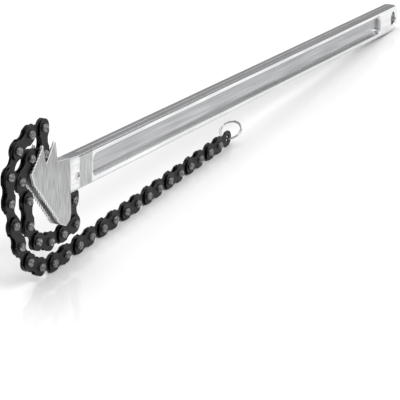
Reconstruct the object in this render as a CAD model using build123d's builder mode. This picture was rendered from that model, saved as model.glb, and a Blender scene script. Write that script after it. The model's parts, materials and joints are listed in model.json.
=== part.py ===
"""Chain pipe wrench: an I-section handle with a slotted, toothed head, and a flat plate chain that hooks into it.

Millimetres, +Z up. The wrench stands on edge on Z = 0, with +X from the head towards the hang hole and the chain
in the plane Y = 0. The origin is at the middle of the whole wrench, on the surface it stands on.
"""

import os
from math import asin, cos, degrees, pi, radians, sin

from build123d import *

os.makedirs("parts", exist_ok=True)

# Chain
pitch = 15.875
plate_height = 11.0
plate_waist = 7.4
waist_cut_radius = 6.0
inner_plate_half = 0.75
outer_plate_from = 0.85
outer_plate_to = 1.85
plate_edge_break = 0.15
pin_radius = 2.5
pin_half_length = 3.6
pin_end_chamfer = 0.45
running_clearance = 0.05
riveted_clearance = 0.02

# Pull ring
ring_radius = 7.5
ring_wire_radius = 0.8
ring_lift_angle = 35.0

# Handle
handle_height = 22.0
handle_half_width = 4.6
handle_edge_radius = 1.7
handle_length = 564.0
axis_height_at_head = 55.2
pocket_start = 29.0
pocket_end = 534.0
pocket_height = 14.6
pocket_depth = 3.1
pocket_corner_radius = 4.0
pocket_draft = 14.0
hang_hole_radius = 5.5
hang_hole_chamfer = 0.6

# Head
head_half_width = 3.7
slot_half_width = 2.0
head_back = 2.0
ramp_length = 9.0
tooth_depth = 1.1
tooth_root_share = 0.7
nose_teeth = 8
jaw_teeth = 13

# Anchor
anchor_x = 9.5
anchor_z = 52.5
anchor_pin_half_length = 3.95
anchor_slot_back = 6.1
anchor_slot_flare = 5.0

# Cuts reach past what they cut
cut_overrun = 1.0
cut_half_width = 2 * handle_half_width
ramp_overlap = 0.01
size_tolerance = 0.1

# Headings of the chain's links in degrees, from the anchor to the pull ring, in the X-Z plane
inner_turn = [-89, -86, 183, 178, 160, 125, 92, 118, 40, -7]
fold = [88]
outer_turn = [178, 200, 232, 268, 286, 292, 305, 329, 349]
floor_run = [0] * 16
headings = inner_turn + fold + outer_turn + floor_run
link_count = len(headings)

half_height = handle_height / 2
handle_tilt = asin((axis_height_at_head - half_height) / handle_length)


def chain_pins():
    """Pin centres (x, z) from the anchor on, with x from the back of the head."""
    points = [(anchor_x, anchor_z)]
    for heading in headings:
        x, z = points[-1]
        points.append((x + pitch * cos(radians(heading)), z + pitch * sin(radians(heading))))
    return points


pins = chain_pins()
right_end = handle_length * cos(handle_tilt) + half_height
left_end = min(x for x, z in pins) - plate_height / 2
datum_x = -(left_end + right_end) / 2
pins = [(x + datum_x, z) for x, z in pins]


def side_plane(x, z, angle=0.0):
    """The plane parallel to X-Z through (x, 0, z), turned by an angle in degrees, facing the near side."""
    turn = radians(angle)
    return Plane(origin=(x, 0, z), x_dir=(cos(turn), 0, sin(turn)), z_dir=(0, -1, 0))


def toothed(start, end, count):
    """Points of a saw-toothed edge: crests on the line from start to end, roots on the right of it."""
    length = ((end[0] - start[0]) ** 2 + (end[1] - start[1]) ** 2) ** 0.5
    along = ((end[0] - start[0]) / length, (end[1] - start[1]) / length)
    points = []
    for tooth in range(count):
        crest = length * tooth / count
        root = length * (tooth + tooth_root_share) / count
        points.append((start[0] + along[0] * crest, start[1] + along[1] * crest))
        points.append((
            start[0] + along[0] * root - along[1] * tooth_depth,
            start[1] + along[1] * root + along[0] * tooth_depth,
        ))
    points.append(end)
    return points


# ---- Handle -------------------------------------------------------------------------------------------------------

handle_plane = side_plane(datum_x, axis_height_at_head, -degrees(handle_tilt))
handle_top_plane = Plane(
    origin=handle_plane.origin, x_dir=handle_plane.x_dir, z_dir=handle_plane.y_dir
)
through = 4 * handle_height

with BuildPart() as handle:
    # bar with a round far end
    with BuildSketch(handle_plane.offset(-handle_half_width)):
        with Locations((handle_length / 2, 0)):
            Rectangle(handle_length, handle_height)
        with Locations((handle_length, 0)):
            Circle(half_height)
    extrude(amount=2 * handle_half_width)
    sides = [handle.faces().sort_by(Axis.Y)[0], handle.faces().sort_by(Axis.Y)[-1]]
    rims = [edge for side in sides for edge in side.edges()]
    front_x = datum_x + 2 * head_back
    fillet([edge for edge in rims if edge.center().X > front_x], handle_edge_radius)
    # upright front face, where the head begins
    with BuildSketch(Plane.XZ.offset(-handle_half_width)):
        with Locations((datum_x + head_back - handle_height, axis_height_at_head)):
            Rectangle(2 * handle_height, 3 * handle_height)
    extrude(amount=2 * handle_half_width, mode=Mode.SUBTRACT)
    # ramps that bring the boss down to the thickness of the head
    for side in (1, -1):
        ramp_foot = (head_back, side * head_half_width)
        ramp_top = (head_back + ramp_length, side * (handle_half_width + ramp_overlap))
        with BuildSketch(handle_top_plane.offset(-through / 2)):
            with BuildLine():
                Polyline(
                    ramp_foot,
                    (head_back - cut_overrun, side * head_half_width),
                    (head_back - cut_overrun, side * cut_half_width),
                    (head_back + ramp_length, side * cut_half_width),
                    ramp_top,
                )
                TangentArc(ramp_foot, ramp_top, tangent=(1, 0))
            make_face()
        extrude(amount=through, mode=Mode.SUBTRACT)
    # drafted pockets that leave the I-section
    for side in (1, -1):
        with BuildSketch(Plane(
            origin=handle_plane.origin - handle_plane.z_dir * side * handle_half_width,
            x_dir=handle_plane.x_dir,
            z_dir=-handle_plane.z_dir * side,
        )):
            with Locations(((pocket_start + pocket_end) / 2, 0)):
                RectangleRounded(pocket_end - pocket_start, pocket_height, pocket_corner_radius)
        extrude(amount=-pocket_depth, taper=pocket_draft, mode=Mode.SUBTRACT)
    # slot for the chain's first link, open below and towards the head
    slot_front = datum_x + head_back - cut_overrun
    slot_top = anchor_z + anchor_slot_back
    slot_rear = datum_x + anchor_x + anchor_slot_back
    slot_foot = axis_height_at_head - handle_height
    with BuildSketch(Plane.XZ.offset(-slot_half_width)):
        with BuildLine():
            Polyline(
                (slot_front, slot_foot),
                (slot_front, slot_top),
                (slot_rear, slot_top),
                (slot_rear, anchor_z),
                (slot_rear + anchor_slot_flare, slot_foot),
                close=True,
            )
        make_face()
    extrude(amount=2 * slot_half_width, mode=Mode.SUBTRACT)
    # bore for the anchor pin
    with BuildSketch(Plane.XZ.offset(-cut_half_width)):
        with Locations(pins[0]):
            Circle(pin_radius + riveted_clearance)
    extrude(amount=2 * cut_half_width, mode=Mode.SUBTRACT)
    # hang hole
    with BuildSketch(handle_plane.offset(-cut_half_width)):
        with Locations((handle_length, 0)):
            Circle(hang_hole_radius)
    extrude(amount=2 * cut_half_width, mode=Mode.SUBTRACT)
    hole_rims = [
        edge
        for edge in handle.edges().filter_by(GeomType.CIRCLE)
        if abs(edge.radius - hang_hole_radius) < size_tolerance
        and abs(edge.length - 2 * pi * hang_hole_radius) < size_tolerance
    ]
    chamfer(hole_rims, hang_hole_chamfer)
handle.part.label = "handle"
export_step(handle.part, "parts/handle.step")

# ---- Head ---------------------------------------------------------------------------------------------------------

head_top_back = (head_back, 66.2)
hook_root = (-26.4, 72.4)
hook_root_radius = 0.8
horn_front = [(-31.2, 82.8), (-30.4, 84.2), (-29.6, 83.6)]
horn_back = [(-17.2, 81.2), (-15.8, 82.6), (-14.6, 81.4)]
nose = (-44.2, 71.2)
cheek_corner = (-41.0, 62.0)
lobe_front = (-15.0, 32.0)
lobe_tip = [(-11.5, 28.5), (-4.6, 25.2), (0.4, 27.2)]

cheek_outline = (
    [head_top_back, (-13.0, 69.0)]
    + horn_back[::-1]
    + [(hook_root[0] + hook_root_radius, hook_root[1]), (hook_root[0] - hook_root_radius, hook_root[1])]
    + horn_front[:0:-1]
    + toothed(horn_front[0], nose, nose_teeth)
    + toothed(cheek_corner, lobe_front, jaw_teeth)
    + lobe_tip
    + [(head_back, 31.0)]
)
cheek_outline = [(x + datum_x, z) for x, z in cheek_outline]
cheek_thickness = head_half_width - slot_half_width


def cheek(plane):
    """One toothed plate of the head, from the given plane towards the near side."""
    with BuildPart() as plate:
        with BuildSketch(plane):
            with BuildLine():
                Polyline(*cheek_outline, close=True)
            make_face()
        extrude(amount=cheek_thickness)
    return plate.part


near_cheek = cheek(Plane.XZ.offset(slot_half_width))
near_cheek.label = "near_cheek"
export_step(near_cheek, "parts/near_cheek.step")

far_cheek = cheek(Plane.XZ.offset(-head_half_width))
far_cheek.label = "far_cheek"
export_step(far_cheek, "parts/far_cheek.step")

core_top = [(-31, 63), (-24, 68.5), (-13, 68.6), (head_back, 66.0)]
core_foot = [(head_back, 60.5), (-6, 52), (-14, 46), (-24, 47), (-31, 56)]
core_outline = core_top + core_foot
core_outline = [(x + datum_x, z) for x, z in core_outline]

with BuildPart() as head_core:
    with BuildSketch(Plane.XZ.offset(-slot_half_width)):
        with BuildLine():
            Polyline(*core_outline, close=True)
        make_face()
    extrude(amount=2 * slot_half_width)
head_core.part.label = "head_core"
export_step(head_core.part, "parts/head_core.step")

# ---- Pins ---------------------------------------------------------------------------------------------------------


def chain_pin(centres, half_length, end_chamfer):
    """Round pins across the chain at the given centres, with chamfered ends."""
    with BuildPart() as rod:
        with BuildSketch(Plane.XZ.offset(-half_length)):
            with Locations(*centres):
                Circle(pin_radius)
        extrude(amount=2 * half_length)
        if end_chamfer:
            chamfer(rod.edges().filter_by(GeomType.CIRCLE), end_chamfer)
    return rod.part


anchor_pin = chain_pin([pins[0]], anchor_pin_half_length, 0)
anchor_pin.label = "anchor_pin"
export_step(anchor_pin, "parts/anchor_pin.step")

# ---- Chain --------------------------------------------------------------------------------------------------------


def link_plates(start, heading, depths, hole_radius):
    """Waisted plates from the pin at start along the heading, one for each (from, to) pair of depths."""
    waist_centre = plate_waist / 2 + waist_cut_radius
    with BuildPart() as plates:
        for depth_from, depth_to in depths:
            with BuildSketch(side_plane(*start, heading).offset(depth_from)):
                with Locations((pitch / 2, 0)):
                    SlotCenterToCenter(pitch, plate_height)
                    with Locations((0, waist_centre), (0, -waist_centre)):
                        Circle(waist_cut_radius, mode=Mode.SUBTRACT)
                with Locations((0, 0), (pitch, 0)):
                    Circle(hole_radius, mode=Mode.SUBTRACT)
            extrude(amount=depth_to - depth_from)
        rims = [
            edge
            for face in plates.faces().filter_by(Axis.Y)
            for edge in face.outer_wire().edges()
        ]
        chamfer(rims, plate_edge_break)
    return plates.part


outer_depths = [(outer_plate_from, outer_plate_to), (-outer_plate_to, -outer_plate_from)]
inner_depths = [(-inner_plate_half, inner_plate_half)]

for number, heading in enumerate(headings, start=1):
    start, end = pins[number - 1], pins[number]
    outer = number % 2 == 1
    if outer:
        plates = link_plates(start, heading, outer_depths, pin_radius + riveted_clearance)
        plates.label = f"outer_link_{number:02d}"
        link_pins = chain_pin([start, end] if number > 1 else [end], pin_half_length, pin_end_chamfer)
        link_pins.label = f"pins_{number:02d}"
        export_step(link_pins, f"parts/{link_pins.label}.step")
    else:
        plates = link_plates(start, heading, inner_depths, pin_radius + running_clearance)
        plates.label = f"inner_link_{number:02d}"
    export_step(plates, f"parts/{plates.label}.step")

# ---- Pull ring ----------------------------------------------------------------------------------------------------

ring_x = pins[-1][0] + ring_radius * cos(radians(ring_lift_angle))
ring_z = pins[-1][1] + ring_radius * sin(radians(ring_lift_angle))
ring_normal = (-sin(radians(ring_lift_angle)), 0, cos(radians(ring_lift_angle)))

ring_plane = Plane(origin=(ring_x, 0, ring_z), x_dir=(0, 1, 0), z_dir=ring_normal)

with BuildPart(ring_plane) as pull_ring:
    Torus(ring_radius, ring_wire_radius)
pull_ring.part.label = "pull_ring"
export_step(pull_ring.part, "parts/pull_ring.step")
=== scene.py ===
"""Chain pipe wrench: finishes, softened edges, peened pins, a welded ring and a studio round the CAD frame.

Metres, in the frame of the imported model: +X from the head to the hang hole, +Z up, and the chain in the plane
Y = 0.
"""

import json
from math import asin, atan2, cos, exp, pi, radians, sin

import bmesh
import bpy
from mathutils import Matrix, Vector


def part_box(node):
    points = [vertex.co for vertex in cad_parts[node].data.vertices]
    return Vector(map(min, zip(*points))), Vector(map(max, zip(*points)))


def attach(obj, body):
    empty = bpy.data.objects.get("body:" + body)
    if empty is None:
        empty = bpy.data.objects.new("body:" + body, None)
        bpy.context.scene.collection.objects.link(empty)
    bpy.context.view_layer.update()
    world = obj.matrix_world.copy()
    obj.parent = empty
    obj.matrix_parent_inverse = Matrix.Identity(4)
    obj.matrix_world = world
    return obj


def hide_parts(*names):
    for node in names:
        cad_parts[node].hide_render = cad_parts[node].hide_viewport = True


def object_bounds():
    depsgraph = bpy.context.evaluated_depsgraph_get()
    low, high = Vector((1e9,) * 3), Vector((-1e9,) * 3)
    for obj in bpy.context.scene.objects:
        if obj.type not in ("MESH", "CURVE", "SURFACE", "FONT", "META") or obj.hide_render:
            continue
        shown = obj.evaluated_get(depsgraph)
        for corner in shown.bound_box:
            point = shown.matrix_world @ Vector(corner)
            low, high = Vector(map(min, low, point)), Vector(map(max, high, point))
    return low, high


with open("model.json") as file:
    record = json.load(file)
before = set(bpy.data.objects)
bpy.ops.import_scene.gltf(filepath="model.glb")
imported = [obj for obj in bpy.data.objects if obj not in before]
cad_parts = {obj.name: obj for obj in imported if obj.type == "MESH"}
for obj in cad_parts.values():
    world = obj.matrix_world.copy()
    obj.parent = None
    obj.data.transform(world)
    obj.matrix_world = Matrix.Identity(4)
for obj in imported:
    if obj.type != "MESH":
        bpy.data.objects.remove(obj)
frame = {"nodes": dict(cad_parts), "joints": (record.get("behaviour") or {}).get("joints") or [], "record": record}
cad_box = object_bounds()

mm = 0.001
length = cad_box[1].x - cad_box[0].x
pivots = {joint["name"]: Vector(joint["pos_m"]) for joint in frame["joints"]}
link_count = len(pivots) - 1
hang_hole = Vector(frame["record"]["mounts"][0]["pos_m"])

# Handle, as the forging is drawn: its axis falls from the head to the hang hole
handle_length = 564 * mm
handle_half_height = 11 * mm
axis_height_at_head = 55.2 * mm
handle_tilt = asin((axis_height_at_head - hang_hole.z) / handle_length)
handle_along = Vector((cos(handle_tilt), 0, -sin(handle_tilt)))
handle_up = Vector((sin(handle_tilt), 0, cos(handle_tilt)))
handle_origin = hang_hole - handle_along * handle_length

# Masks: how alike a rounded and a true normal are on flat ground and on an edge, and how much a surface sees
# of its surroundings in the open and in a hollow, which sets where shade is painted
flat_likeness = 0.99
edge_likeness = 0.85
open_share = 0.9
closed_share = 0.35

# Camera
camera_azimuth = radians(-65)
camera_elevation = radians(20.5)
camera_distance = 1.4435
lens_mm = 189
aim = Vector((-0.091 * length, 0, -0.0396 * length))


# ---- Nodes ---------------------------------------------------------------------------------------

# The Mix node's sockets for colours, which come after those for numbers and vectors
mix_first, mix_second, mix_result = 6, 7, 2


def new_material(name, **sockets):
    """A material with its Principled shader's own sockets set; returns it and its tree."""
    finish = bpy.data.materials.new(name)
    finish.use_nodes = True
    shader = finish.node_tree.nodes["Principled BSDF"]
    for socket, value in sockets.items():
        shader.inputs[socket.replace("_", " ")].default_value = value
    return finish, finish.node_tree


def add(tree, kind, sockets=None, **settings):
    """A node with its settings, and with values or other nodes' outputs on its sockets."""
    made = tree.nodes.new(kind)
    for key, value in settings.items():
        setattr(made, key, value)
    for key, value in (sockets or {}).items():
        if isinstance(value, bpy.types.NodeSocket):
            tree.links.new(value, made.inputs[key])
        else:
            made.inputs[key].default_value = value
    return made


def noise(tree, stretch, detail=4.0, turn=0.0):
    """Noise with the given number of features per metre along X, Y and Z, turned about Y."""
    place = add(tree, "ShaderNodeTexCoord").outputs["Object"]
    turned = add(tree, "ShaderNodeMapping", {"Vector": place, "Rotation": (0, turn, 0)}).outputs["Vector"]
    scaled = add(tree, "ShaderNodeMapping", {"Vector": turned, "Scale": stretch}).outputs["Vector"]
    return add(tree, "ShaderNodeTexNoise", {"Vector": scaled, "Scale": 1.0, "Detail": detail}).outputs["Fac"]


def spread(tree, value, low, high, out_low, out_high):
    """Value taken from low..high to out_low..out_high, and held at the ends."""
    sockets = {"Value": value, "From Min": low, "From Max": high, "To Min": out_low, "To Max": out_high}
    return add(tree, "ShaderNodeMapRange", sockets).outputs["Result"]


def mixed(tree, factor, first, second):
    """Colour between two colours or outputs."""
    mix = add(tree, "ShaderNodeMix", {"Factor": factor}, data_type="RGBA")
    for index, colour in ((mix_first, first), (mix_second, second)):
        if isinstance(colour, bpy.types.NodeSocket):
            tree.links.new(colour, mix.inputs[index])
        else:
            mix.inputs[index].default_value = (*colour, 1)
    return mix.outputs[mix_result]


def times(tree, first, second):
    """Product of two values or outputs."""
    product = add(tree, "ShaderNodeMath", operation="MULTIPLY")
    for index, value in ((0, first), (1, second)):
        if isinstance(value, bpy.types.NodeSocket):
            tree.links.new(value, product.inputs[index])
        else:
            product.inputs[index].default_value = value
    return product.outputs["Value"]


def edge_mask(tree, radius):
    """1 on edges sharper than the radius, 0 on flat ground."""
    rounded = add(tree, "ShaderNodeBevel", {"Radius": radius}, samples=4).outputs["Normal"]
    flat = add(tree, "ShaderNodeNewGeometry").outputs["Normal"]
    sockets = {0: rounded, 1: flat}
    likeness = add(tree, "ShaderNodeVectorMath", sockets, operation="DOT_PRODUCT").outputs["Value"]
    return spread(tree, likeness, flat_likeness, edge_likeness, 0.0, 1.0)


def hollow_shade_mask(tree, reach):
    """1 in corners and gaps that are closed in within the reach, 0 in the open: where the finishes paint shade."""
    sockets = {"Distance": reach}
    openness = add(tree, "ShaderNodeAmbientOcclusion", sockets, samples=8, only_local=True).outputs["AO"]
    return spread(tree, openness, open_share, closed_share, 0.0, 1.0)


def across_mask(tree, near, far):
    """1 within near of the plane Y = 0, 0 beyond far."""
    place = add(tree, "ShaderNodeTexCoord").outputs["Object"]
    across = add(tree, "ShaderNodeSeparateXYZ", {"Vector": place}).outputs["Y"]
    distance = add(tree, "ShaderNodeMath", {0: across}, operation="ABSOLUTE").outputs["Value"]
    return spread(tree, distance, near, far, 1.0, 0.0)


def handle_distances(tree):
    """Distances along the handle's axis from the back of the head, and above that axis."""
    place = add(tree, "ShaderNodeTexCoord").outputs["Object"]
    distances = []
    for direction in (handle_along, handle_up):
        sockets = {0: place, 1: direction}
        reach = add(tree, "ShaderNodeVectorMath", sockets, operation="DOT_PRODUCT").outputs["Value"]
        sockets = {0: reach, 1: handle_origin.dot(direction)}
        distances.append(add(tree, "ShaderNodeMath", sockets, operation="SUBTRACT").outputs["Value"])
    return distances


def chamfer_highlight_mask(tree):
    """1 on faces that lean between the flat sides and the rim, 0 on both of those: where the ground steel gets a
    painted highlight.
    """
    facing = add(tree, "ShaderNodeNewGeometry").outputs["True Normal"]
    lean = add(tree, "ShaderNodeSeparateXYZ", {"Vector": facing}).outputs["Y"]
    lean = add(tree, "ShaderNodeMath", {0: lean}, operation="ABSOLUTE").outputs["Value"]
    off_sides = spread(tree, lean, 0.9, 0.98, 1.0, 0.0)
    off_rim = spread(tree, lean, 0.1, 0.25, 0.0, 1.0)
    return times(tree, off_sides, off_rim)


def dress(tree, colour, roughness, height, depth):
    """Colour, roughness and bump on the tree's shader."""
    shader = tree.nodes["Principled BSDF"]
    bump = add(tree, "ShaderNodeBump", {"Height": height, "Distance": depth, "Strength": 1.0})
    tree.links.new(colour, shader.inputs["Base Color"])
    tree.links.new(roughness, shader.inputs["Roughness"])
    tree.links.new(bump.outputs["Normal"], shader.inputs["Normal"])


# ---- Finishes ------------------------------------------------------------------------------------


def plated_forging():
    """Nickel plate over a forging: flanges polished along their length, web and narrow edges left duller, with
    painted shade in hollows and towards the top of the web.
    """
    finish, tree = new_material("plated_forging", Metallic=1.0)
    streaks = noise(tree, (16, 800, 800), detail=6.0, turn=-handle_tilt)
    clouds = noise(tree, (20, 60, 60), detail=3.0, turn=-handle_tilt)
    skin = noise(tree, (420, 420, 420), detail=2.0)
    streak_share = spread(tree, streaks, 0.35, 0.65, 0, 1)
    bright = mixed(tree, streak_share, (0.7, 0.705, 0.71), (0.92, 0.922, 0.925))
    dull = mixed(tree, streak_share, (0.38, 0.385, 0.395), (0.62, 0.625, 0.635))
    along, above = handle_distances(tree)
    web_full, web_gone = 1.7 * mm, 4.0 * mm
    ramp_end, boss_start = 11 * mm, 12.5 * mm
    boss_end, pocket_start = 27 * mm, 29 * mm
    rim_gone, rim_full = 9.2 * mm, 10.0 * mm
    shade_foot, shade_top = -5 * mm, 7 * mm
    web = across_mask(tree, web_full, web_gone)
    past_ramp = spread(tree, along, ramp_end, boss_start, 0, 1)
    before_pocket = spread(tree, along, boss_end, pocket_start, 1, 0)
    boss = times(tree, past_ramp, before_pocket)
    off_axis = add(tree, "ShaderNodeMath", {0: above}, operation="ABSOLUTE").outputs["Value"]
    rim = spread(tree, off_axis, rim_gone, rim_full, 0, 0.75)
    plate = mixed(tree, rim, bright, (0.42, 0.425, 0.43))
    grind = noise(tree, (1500, 1500, 80), detail=5.0)
    ground = mixed(tree, spread(tree, grind, 0.35, 0.65, 0, 1), (0.3, 0.303, 0.308), (0.56, 0.563, 0.568))
    plate = mixed(tree, boss, plate, ground)
    plate = mixed(tree, web, plate, dull)
    # Painted shade: the web darkened towards its top, where the top flange shades it.
    painted_web_shade = times(tree, web, spread(tree, above, shade_foot, shade_top, 0, 0.45))
    plate = mixed(tree, painted_web_shade, plate, (0.26, 0.265, 0.275))
    plate = mixed(tree, times(tree, spread(tree, clouds, 0.45, 0.7, 0, 1), 0.3), plate, (0.44, 0.445, 0.455))
    # Painted shade: the plate darkened in hollows and gaps, from the hollow mask.
    plate = mixed(tree, times(tree, hollow_shade_mask(tree, 4 * mm), 0.6), plate, (0.14, 0.14, 0.145))
    plate = mixed(tree, edge_mask(tree, 0.8 * mm), plate, (0.95, 0.95, 0.95))
    height = mixed(tree, 0.35, streaks, skin)
    polished = spread(tree, clouds, 0.3, 0.7, 0.14, 0.24)
    unpolished = spread(tree, clouds, 0.3, 0.7, 0.26, 0.38)
    gloss = mixed(tree, web, polished, unpolished)
    dress(tree, plate, gloss, height, depth=0.03 * mm)
    return finish


def ground_steel():
    """Plain steel, ground up and down, with painted shade in its hollows and a painted highlight on its chamfers.
    """
    finish, tree = new_material("ground_steel", Metallic=1.0)
    grain = noise(tree, (2100, 2100, 110), detail=5.0)
    clouds = noise(tree, (90, 90, 60), detail=3.0)
    steel = mixed(tree, spread(tree, grain, 0.3, 0.7, 0, 1), (0.3, 0.303, 0.308), (0.66, 0.663, 0.668))
    # Painted shade in hollows and gaps.
    steel = mixed(tree, times(tree, hollow_shade_mask(tree, 3 * mm), 0.5), steel, (0.12, 0.12, 0.12))
    # Painted highlight: the chamfers made near white, as if they reflected the bright floor.
    steel = mixed(tree, chamfer_highlight_mask(tree), steel, (0.93, 0.93, 0.93))
    dress(tree, steel, spread(tree, clouds, 0.3, 0.7, 0.38, 0.52), grain, depth=0.06 * mm)
    return finish


def black_oxide():
    """Oiled black oxide, rubbed to grey on the edges and in patches."""
    finish, tree = new_material("chain_plates", Metallic=1.0)
    patches = noise(tree, (260, 260, 260), detail=4.0)
    grit = noise(tree, (2600, 2600, 2600), detail=3.0)
    oxide = mixed(tree, spread(tree, patches, 0.4, 0.7, 0, 1), (0.003, 0.003, 0.0033), (0.013, 0.013, 0.0135))
    worn = times(tree, edge_mask(tree, 0.3 * mm), spread(tree, patches, 0.35, 0.6, 0.15, 0.6))
    oxide = mixed(tree, worn, oxide, (0.2, 0.2, 0.2))
    dress(tree, oxide, spread(tree, patches, 0.3, 0.7, 0.26, 0.46), grit, depth=0.04 * mm)
    return finish


def rubbed_steel(name, dark, light):
    """Pin ends: steel in patches from dark to light, with fine scratches and painted shade in hollows and between
    parts.
    """
    finish, tree = new_material(name, Metallic=1.0)
    patches = noise(tree, (900, 900, 900), detail=4.0)
    scratches = noise(tree, (2400, 2400, 300), detail=4.0)
    steel = mixed(tree, spread(tree, patches, 0.35, 0.65, 0, 1), dark, light)
    # Painted shade: near black in hollows and between the plates.
    steel = mixed(tree, times(tree, hollow_shade_mask(tree, 0.8 * mm), 0.7), steel, (0.05, 0.05, 0.05))
    dress(tree, steel, spread(tree, scratches, 0.3, 0.7, 0.26, 0.42), scratches, depth=0.05 * mm)
    return finish


def bright_wire():
    """Drawn and plated wire, with faint draw lines."""
    finish, tree = new_material("ring_wire", Metallic=1.0)
    lines = noise(tree, (1500, 500, 1500), detail=4.0)
    wire = mixed(tree, spread(tree, lines, 0.3, 0.7, 0, 1), (0.34, 0.345, 0.35), (0.6, 0.605, 0.61))
    dress(tree, wire, spread(tree, lines, 0.3, 0.7, 0.12, 0.24), lines, depth=0.02 * mm)
    return finish


finishes = {
    "plated_forging": plated_forging(),
    "ground_steel": ground_steel(),
    "anchor_steel": rubbed_steel("anchor_steel", (0.5, 0.5, 0.51), (0.72, 0.72, 0.73)),
    "chain_plates": black_oxide(),
    "pin_steel": rubbed_steel("pin_steel", (0.07, 0.07, 0.072), (0.34, 0.34, 0.345)),
    "ring_wire": bright_wire(),
}

for part in frame["record"]["subparts"]:
    shown = frame["nodes"][part["node"]].data
    shown.materials.clear()
    shown.materials.append(finishes[part["material_slot"]])


# ---- Pieces --------------------------------------------------------------------------------------


def new_piece(name, work, slot, body, sharp_angle, replaced=()):
    """An object of the mesh in work, with its finish, its body and the CAD nodes it stands for."""
    bmesh.ops.recalc_face_normals(work, faces=work.faces[:])
    mesh = bpy.data.meshes.new(name)
    work.to_mesh(mesh)
    work.free()
    mesh.materials.append(finishes[slot])
    mesh.polygons.foreach_set("use_smooth", [True] * len(mesh.polygons))
    mesh.set_sharp_from_angle(angle=radians(sharp_angle))
    piece = bpy.data.objects.new(name, mesh)
    bpy.context.scene.collection.objects.link(piece)
    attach(piece, body)
    if replaced:
        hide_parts(*replaced)
    return piece


def softened(node, name, width):
    """A flat-sided CAD node again, with its sharp edges ground off by the width."""
    work = bmesh.new()
    work.from_mesh(frame["nodes"][node].data)
    bmesh.ops.remove_doubles(work, verts=work.verts[:], dist=0.001 * mm)
    bmesh.ops.dissolve_limit(work, angle_limit=radians(0.5), verts=work.verts[:], edges=work.edges[:])
    least_fold = radians(60)
    sharp = [edge for edge in work.edges if edge.is_manifold and edge.calc_face_angle() > least_fold]
    bmesh.ops.bevel(
        work, geom=sharp, offset=width, segments=2, profile=0.5, affect="EDGES", clamp_overlap=True
    )
    return new_piece(name, work, "ground_steel", "handle", sharp_angle=30, replaced=[node])


def turned(work, centre, profile, segments=40):
    """Adds a body turned about a line along Y through the centre.

    The (radius, y) points start and end on that line.
    """
    rings = []
    for radius, y in profile:
        if radius == 0:
            rings.append([work.verts.new(centre + Vector((0, y, 0)))])
            continue
        rings.append([
            work.verts.new(centre + Vector((radius * cos(turn), y, radius * sin(turn))))
            for turn in (2 * pi * step / segments for step in range(segments))
        ])
    for first, second in zip(rings, rings[1:]):
        for step in range(segments):
            corners = [
                first[step % len(first)],
                first[(step + 1) % len(first)],
                second[(step + 1) % len(second)],
                second[step % len(second)],
            ]
            work.faces.new(list(dict.fromkeys(corners)))


pin_radius = 2.5 * mm
pin_end = 3.6 * mm
pin_edge_drop = 0.5 * mm

# A peened head as (radius, rise) in millimetres: the dimple, the crown round it and the rolled edge
dimple = [(0.0, -0.3), (0.45, -0.27), (0.8, -0.1)]
crown = [(1.1, 0.04), (1.5, 0.08), (1.95, -0.02), (2.3, -0.22)]


def pin_profile():
    """One peened head, the shank and the other head: a dimple, a low crown and a rolled edge."""
    near = [(radius * mm, -pin_end - rise * mm) for radius, rise in dimple + crown]
    near.append((pin_radius, -pin_end + pin_edge_drop))
    return near + [(radius, -y) for radius, y in reversed(near)]


def peened_pins(number):
    """An outer link's pins, on the hinges at its ends; the anchor pin is at the first link's own hinge."""
    work = bmesh.new()
    ends = [number, number + 1] if number > 1 else [number + 1]
    for end in ends:
        turned(work, pivots[f"link_{end:02d}_hinge"], pin_profile())
    new_piece(
        f"peened_pins_{number:02d}", work, "pin_steel", f"link_{number:02d}",
        sharp_angle=50, replaced=[f"pins_{number:02d}"],
    )


def welded_ring():
    """The pull ring: round wire, butt-welded with a low bead at its outer end."""
    low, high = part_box("pull_ring")
    centre = (Vector(low) + Vector(high)) / 2
    outward = centre - pivots["ring_swing"]
    outward.y = 0
    ring_radius = outward.length
    outward.normalize()
    across = Vector((0, 1, 0))
    normal = outward.cross(across)
    wire_radius = (high[1] - low[1]) / 2 - ring_radius
    bead_rise = 0.22
    bead_width = radians(7)
    around, sides = 144, 20
    work = bmesh.new()
    loops = []
    for step in range(around):
        turn = 2 * pi * step / around
        from_bead = atan2(sin(turn), cos(turn)) / bead_width
        thickness = wire_radius * (1 + bead_rise * exp(-from_bead ** 2))
        spoke = outward * cos(turn) + across * sin(turn)
        loops.append([
            work.verts.new(
                centre + spoke * (ring_radius + thickness * cos(side)) + normal * (thickness * sin(side))
            )
            for side in (2 * pi * index / sides for index in range(sides))
        ])
    for step in range(around):
        for index in range(sides):
            after, beside = (step + 1) % around, (index + 1) % sides
            work.faces.new((
                loops[step][index], loops[after][index], loops[after][beside], loops[step][beside]
            ))
    new_piece("welded_ring", work, "ring_wire", "ring", sharp_angle=60, replaced=["pull_ring"])


def handle_point(along, up):
    """A point of the handle's middle plane, from distances along and above its axis."""
    return handle_origin + handle_along * along + handle_up * up


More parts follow.
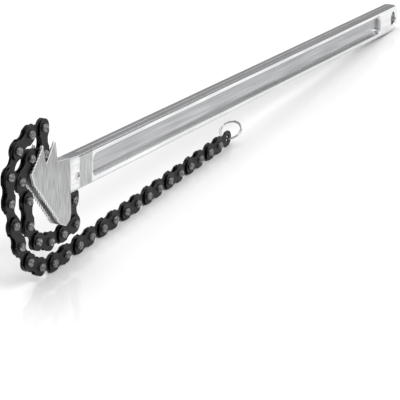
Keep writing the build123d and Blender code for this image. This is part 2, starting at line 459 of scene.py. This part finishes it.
def parting_line():
    """The trimmed flash that the forging dies left along the narrow edges and round the far end."""
    half_width, rise, sunk = 0.55 * mm, 0.14 * mm, 0.1 * mm
    top_start, foot_start, foot_end = 16 * mm, 24 * mm, 545 * mm
    steps, bend_steps, bend_step = 90, 14, radians(9)
    over = []
    under = []
    for share in (step / steps for step in range(steps + 1)):
        along = top_start + (handle_length - top_start) * share
        over.append((handle_point(along, handle_half_height), handle_up))
        along = foot_start + (foot_end - foot_start) * share
        under.append((handle_point(along, -handle_half_height), -handle_up))
    for step in range(1, bend_steps + 1):
        turn = pi / 2 - bend_step * step
        outward = handle_along * cos(turn) + handle_up * sin(turn)
        over.append((hang_hole + outward * handle_half_height, outward))
    # The section as (share of the half width, height), sunk into the handle at both of its edges
    section = [(-1, -sunk), (-0.75, rise * 0.7), (-0.3, rise), (0.3, rise), (0.75, rise * 0.7), (1, -sunk)]
    work = bmesh.new()
    for run in (over, under):
        rows = [
            [
                work.verts.new(point + outward * up + Vector((0, across * half_width, 0)))
                for across, up in section
            ]
            for point, outward in run
        ]
        for first, second in zip(rows, rows[1:]):
            for index in range(len(section)):
                beside = (index + 1) % len(section)
                work.faces.new((first[index], first[beside], second[beside], second[index]))
        work.faces.new(rows[0])
        work.faces.new(rows[-1][::-1])
    new_piece("parting_line", work, "plated_forging", "handle", sharp_angle=50)


softened("near_cheek", "near_jaw", width=0.45 * mm)
softened("far_cheek", "far_jaw", width=0.45 * mm)
for number in range(1, link_count, 2):
    peened_pins(number)
welded_ring()
parting_line()


# ---- Studio --------------------------------------------------------------------------------------


def studio_floor():
    """A large pale, slightly glossy floor."""
    reach = 30.0
    work = bmesh.new()
    bmesh.ops.create_grid(work, x_segments=4, y_segments=4, size=reach)
    mesh = bpy.data.meshes.new("floor")
    work.to_mesh(mesh)
    work.free()
    finish, tree = new_material("floor", Roughness=0.07)
    tone = spread(tree, noise(tree, (3, 3, 3), detail=2.0), 0.3, 0.7, 0, 1)
    colour = mixed(tree, tone, (0.9, 0.9, 0.9), (0.92, 0.92, 0.92))
    tree.links.new(colour, tree.nodes["Principled BSDF"].inputs["Base Color"])
    mesh.materials.append(finish)
    floor = bpy.data.objects.new("floor", mesh)
    bpy.context.scene.collection.objects.link(floor)


def soft_light(name, place, size, power):
    """A square soft box at the place, turned to the origin, below the wrench's middle."""
    lamp = bpy.data.lights.new(name, "AREA")
    lamp.size = size
    lamp.energy = power
    holder = bpy.data.objects.new(name, lamp)
    holder.location = place
    holder.rotation_euler = (-Vector(place)).to_track_quat("-Z", "Y").to_euler()
    bpy.context.scene.collection.objects.link(holder)


def studio_world(strength):
    """White light from above that falls to grey towards the horizon."""
    world = bpy.data.worlds.new("studio")
    world.use_nodes = True
    background = world.node_tree.nodes["Background"]
    tree = world.node_tree
    direction = add(tree, "ShaderNodeTexCoord").outputs["Generated"]
    up = add(tree, "ShaderNodeSeparateXYZ", {"Vector": direction}).outputs["Z"]
    grey_below, white_above = 0.1, 0.55
    colour = mixed(tree, spread(tree, up, grey_below, white_above, 0, 1), (0.45, 0.45, 0.46), (1, 1, 1))
    tree.links.new(colour, background.inputs["Color"])
    background.inputs["Strength"].default_value = strength
    bpy.context.scene.world = world


def studio_camera():
    """A long lens from the head's side and above."""
    lens = bpy.data.cameras.new("camera")
    lens.lens = lens_mm
    holder = bpy.data.objects.new("camera", lens)
    offset = Vector((
        sin(camera_azimuth) * cos(camera_elevation),
        -cos(camera_azimuth) * cos(camera_elevation),
        sin(camera_elevation),
    ))
    holder.location = aim + offset * camera_distance
    holder.rotation_euler = (-offset).to_track_quat("-Z", "Y").to_euler()
    bpy.context.scene.collection.objects.link(holder)
    bpy.context.scene.camera = holder


studio_floor()
soft_light("key", (-0.6, -1.6, 1.8), size=1.2, power=22)
soft_light("fill", (1.4, -0.9, 1.2), size=1.0, power=6)
soft_light("top", (0.2, 0.6, 2.0), size=1.6, power=18)
studio_world(strength=0.75)
studio_camera()
bpy.context.scene.view_settings.view_transform = "Standard"
